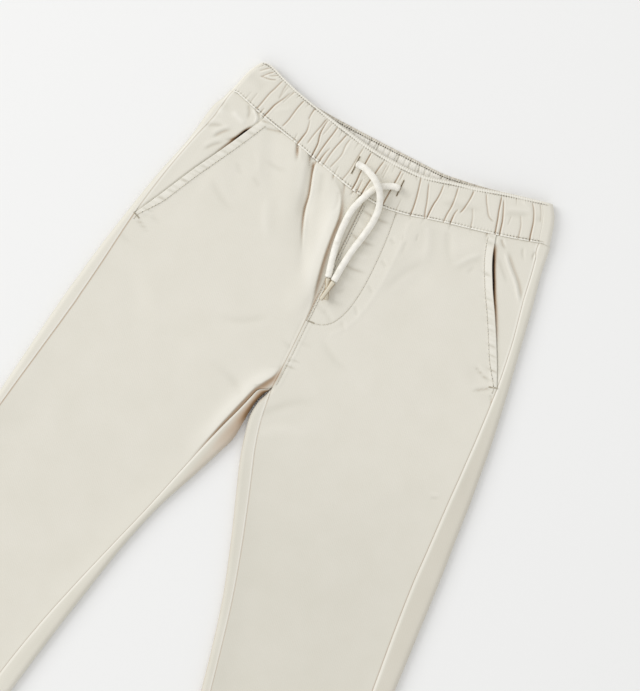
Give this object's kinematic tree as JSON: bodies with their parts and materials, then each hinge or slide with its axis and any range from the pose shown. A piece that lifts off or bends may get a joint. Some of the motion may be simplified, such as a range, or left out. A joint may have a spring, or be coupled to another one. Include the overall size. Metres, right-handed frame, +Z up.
{
  "type": "outdoor trousers",
  "caption": "Pull-on cotton twill trousers laid flat, with a gathered elastic waistband, a drawcord, a mock fly and slanted front pockets.",
  "frame": {"origin": "centre of the laid garment's box, on the surface that it lies on", "axes": "+X to the viewer's right, which is the wearer's left; +Y from the hems to the waist; +Z up, out of the front of the garment"},
  "size_m": [0.484, 0.8348, 0.0205],
  "materials": {
    "twill": "stone-coloured cotton twill",
    "cord": "off-white braided cotton",
    "tip": "beige, dipped and pressed"
  },
  "bodies": {
    "root": {"front_right": "twill", "front_left": "twill", "back_right": "twill", "back_left": "twill", "waistband_front": "twill", "waistband_back": "twill", "pocket_facing_right": "twill", "pocket_facing_left": "twill", "fly": "twill", "cord_right": "cord", "cord_left": "cord", "tip_right": "tip", "tip_left": "tip"}
  },
  "joints": []
}
